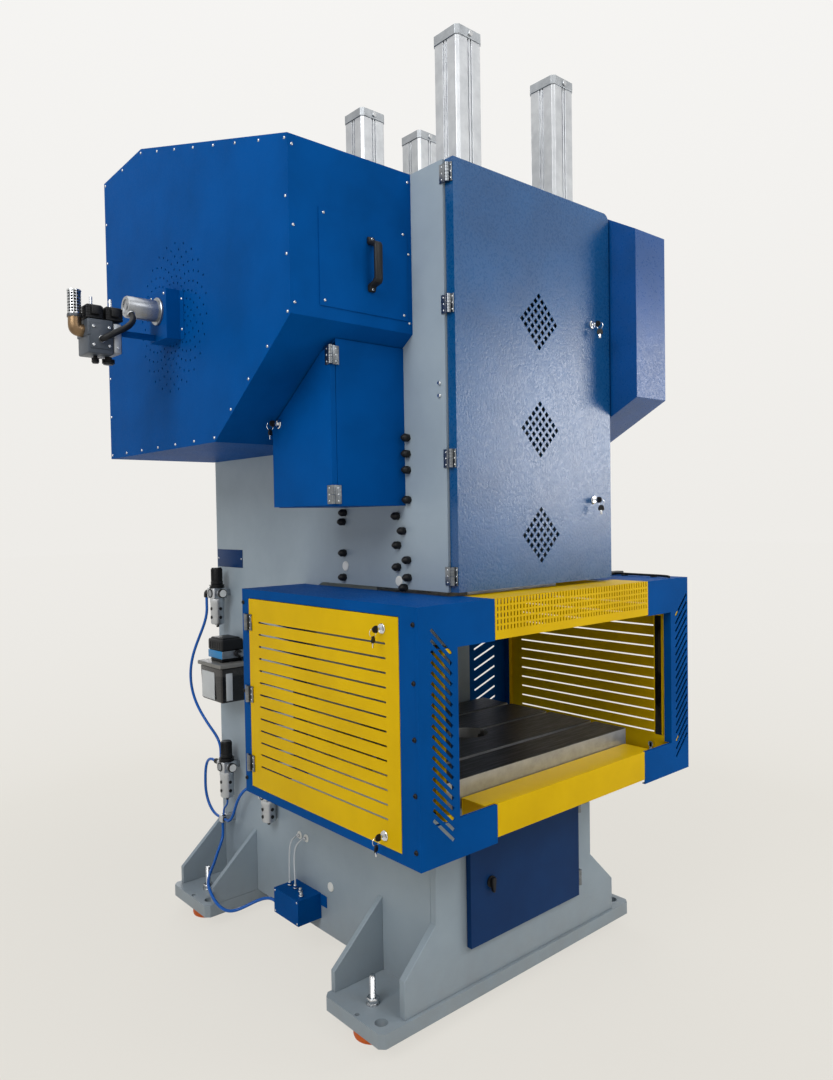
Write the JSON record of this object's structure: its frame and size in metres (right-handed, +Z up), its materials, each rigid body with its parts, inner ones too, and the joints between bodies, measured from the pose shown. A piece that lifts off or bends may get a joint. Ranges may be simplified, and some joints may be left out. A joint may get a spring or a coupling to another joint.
{
  "type": "c-frame eccentric press",
  "caption": "Geared C-frame eccentric press with flywheel guard, gear cover, slotted bolster, guarded work space and hinged doors.",
  "frame": {"origin": "floor level, in the middle of the four levelling screws", "axes": "+Z up, +X to the right of an operator facing the press, +Y towards the back"},
  "size_m": [1.946, 1.7001, 3.16],
  "materials": {
    "frame_grey": "satin",
    "pad_orange": "matte",
    "zinc_steel": "satin",
    "ground_steel": "ground",
    "bronze": "machined",
    "machined_steel": "machined",
    "cast_iron": "cast",
    "aluminium": "satin anodised",
    "cap_grey": "cast",
    "panel_blue": "powder coat",
    "door_navy": "powder coat",
    "guard_yellow": "powder coat",
    "black_plastic": "moulded",
    "brass": "turned",
    "motor_blue": "gloss",
    "belt_rubber": "matte",
    "tank_plastic": "moulded",
    "hose_blue": "gloss",
    "lock_chrome": "bright"
  },
  "bodies": {
    "frame": {"side_plate_left": "frame_grey", "side_plate_right": "frame_grey", "frame_webs": "frame_grey", "pedestal_plate": "frame_grey", "base_bars": "frame_grey", "foot_gussets": "frame_grey", "levelling_pads": "pad_orange", "jack_screws": "zinc_steel", "bolster": "ground_steel", "shaft_bearings": "bronze", "ram_guides": "machined_steel", "cylinder_barrels": "aluminium", "cylinder_caps": "cap_grey", "flywheel_guard": "panel_blue", "guard_hatch": "panel_blue", "hatch_handle": "black_plastic", "hub_bracket": "panel_blue", "rotary_union": "aluminium", "valve_block": "aluminium", "valve_silencer": "brass", "gear_cover": "panel_blue", "drive_motor": "motor_blue", "v_belts": "belt_rubber", "side_cabinet": "panel_blue", "work_guard_frame": "panel_blue", "front_posts": "panel_blue", "top_front_guard": "guard_yellow", "lower_front_bar": "guard_yellow", "light_curtains": "guard_yellow", "hinge_leaves": "zinc_steel", "regulators": "aluminium", "oil_pump": "black_plastic", "oil_tank": "tank_plastic", "valve_box": "panel_blue", "air_hoses": "hose_blue", "cable_glands": "black_plastic"},
    "ram": {"ram": "machined_steel", "ram_rods": "zinc_steel"},
    "crank": {"crankshaft": "machined_steel", "crank_gear": "cast_iron"},
    "connecting_rod": {"conrod": "machined_steel"},
    "back_shaft": {"pinion_shaft": "machined_steel", "clutch_brake": "cast_iron"},
    "flywheel": {"flywheel": "cast_iron"},
    "motor_rotor": {"motor_pulley": "cast_iron"},
    "upper_door": {"upper_door": "panel_blue"},
    "cabinet_door": {"cabinet_door": "panel_blue"},
    "pedestal_door": {"pedestal_door": "door_navy"},
    "side_door_left": {"side_door_left": "guard_yellow"},
    "side_door_right": {"side_door_right": "guard_yellow"},
    "upper_door_lock_high": {"upper_door_lock_high": "lock_chrome"},
    "upper_door_lock_low": {"upper_door_lock_low": "lock_chrome"},
    "left_door_lock_high": {"left_door_lock_high": "lock_chrome"},
    "left_door_lock_low": {"left_door_lock_low": "lock_chrome"},
    "right_door_lock_high": {"right_door_lock_high": "lock_chrome"},
    "right_door_lock_low": {"right_door_lock_low": "lock_chrome"},
    "cabinet_door_lock": {"cabinet_door_lock": "lock_chrome"},
    "pedestal_door_lock": {"pedestal_door_lock": "lock_chrome"},
    "regulator_knob_high": {"regulator_knob_high": "black_plastic"},
    "regulator_knob_low": {"regulator_knob_low": "black_plastic"}
  },
  "joints": [
    {"name": "crank_turn", "type": "hinge", "parent": "frame", "child": "crank", "pos_m": [0, -0.444, 2.345], "axis": [1, 0, 0], "range_deg": [0, 180]},
    {"name": "rod_turn", "type": "hinge", "parent": "crank", "child": "connecting_rod", "pos_m": [0, -0.444, 2.395], "axis": [1, 0, 0], "range_deg": [-180, 0]},
    {"name": "ram_slide", "type": "slide", "parent": "frame", "child": "ram", "axis": [0, 0, 1], "range_m": [-0.1, 0]},
    {"name": "back_shaft_turn", "type": "hinge", "parent": "frame", "child": "back_shaft", "pos_m": [0, 0.116, 2.345], "axis": [1, 0, 0], "range_deg": [-660, 0]},
    {"name": "flywheel_spin", "type": "hinge", "parent": "frame", "child": "flywheel", "pos_m": [-0.63, 0.116, 2.345], "axis": [1, 0, 0], "continuous": true},
    {"name": "motor_spin", "type": "hinge", "parent": "frame", "child": "motor_rotor", "pos_m": [-0.63, 0.52, 2.83], "axis": [1, 0, 0], "continuous": true},
    {"name": "upper_door_swing", "type": "hinge", "parent": "frame", "child": "upper_door", "pos_m": [-0.398, -0.793, 2.05], "axis": [0, 0, -1], "range_deg": [0, 115]},
    {"name": "cabinet_door_swing", "type": "hinge", "parent": "frame", "child": "cabinet_door", "pos_m": [-0.686, -0.586, 1.9], "axis": [0, 0, 1], "range_deg": [0, 110]},
    {"name": "pedestal_door_swing", "type": "hinge", "parent": "frame", "child": "pedestal_door", "pos_m": [0.31, -0.708, 0.43], "axis": [0, 0, 1], "range_deg": [0, 100]},
    {"name": "left_door_swing", "type": "hinge", "parent": "frame", "child": "side_door_left", "pos_m": [-0.668, -0.026, 1.02], "axis": [0, 0, -1], "range_deg": [0, 110]},
    {"name": "right_door_swing", "type": "hinge", "parent": "frame", "child": "side_door_right", "pos_m": [0.708, -0.026, 1.02], "axis": [0, 0, 1], "range_deg": [0, 110]},
    {"name": "upper_door_lock_high_turn", "type": "hinge", "parent": "upper_door", "child": "upper_door_lock_high", "pos_m": [0.281, -0.81, 2.295], "axis": [0, -1, 0], "range_deg": [0, 90]},
    {"name": "upper_door_lock_low_turn", "type": "hinge", "parent": "upper_door", "child": "upper_door_lock_low", "pos_m": [0.279, -0.81, 1.681], "axis": [0, -1, 0], "range_deg": [0, 90]},
    {"name": "left_door_lock_high_turn", "type": "hinge", "parent": "side_door_left", "child": "left_door_lock_high", "pos_m": [-0.66, -0.775, 1.318], "axis": [-1, 0, 0], "range_deg": [0, 90]},
    {"name": "left_door_lock_low_turn", "type": "hinge", "parent": "side_door_left", "child": "left_door_lock_low", "pos_m": [-0.66, -0.772, 0.726], "axis": [-1, 0, 0], "range_deg": [0, 90]},
    {"name": "right_door_lock_high_turn", "type": "hinge", "parent": "side_door_right", "child": "right_door_lock_high", "pos_m": [0.7, -0.775, 1.318], "axis": [-1, 0, 0], "range_deg": [0, 90]},
    {"name": "right_door_lock_low_turn", "type": "hinge", "parent": "side_door_right", "child": "right_door_lock_low", "pos_m": [0.7, -0.772, 0.726], "axis": [-1, 0, 0], "range_deg": [0, 90]},
    {"name": "cabinet_door_lock_turn", "type": "hinge", "parent": "cabinet_door", "child": "cabinet_door_lock", "pos_m": [-0.682, -0.29, 1.938], "axis": [-1, 0, 0], "range_deg": [0, 90]},
    {"name": "pedestal_door_lock_turn", "type": "hinge", "parent": "pedestal_door", "child": "pedestal_door_lock", "pos_m": [-0.167, -0.713, 0.423], "axis": [0, -1, 0], "range_deg": [0, 90]},
    {"name": "knob_high_turn", "type": "hinge", "parent": "frame", "child": "regulator_knob_high", "pos_m": [-0.45, 0.6, 1.39], "axis": [0, 0, 1], "range_deg": [-360, 360]},
    {"name": "knob_low_turn", "type": "hinge", "parent": "frame", "child": "regulator_knob_low", "pos_m": [-0.45, 0.55, 0.66], "axis": [0, 0, 1], "range_deg": [-360, 360]}
  ],
  "couplings": [
    {"joint": "rod_turn", "follows": "crank_turn", "ratio": -1},
    {"joint": "ram_slide", "follows": "crank_turn", "m_per_rad": -0.031831},
    {"joint": "back_shaft_turn", "follows": "crank_turn", "ratio": -3.6667},
    {"joint": "motor_spin", "follows": "flywheel_spin", "ratio": 4.8889}
  ]
}
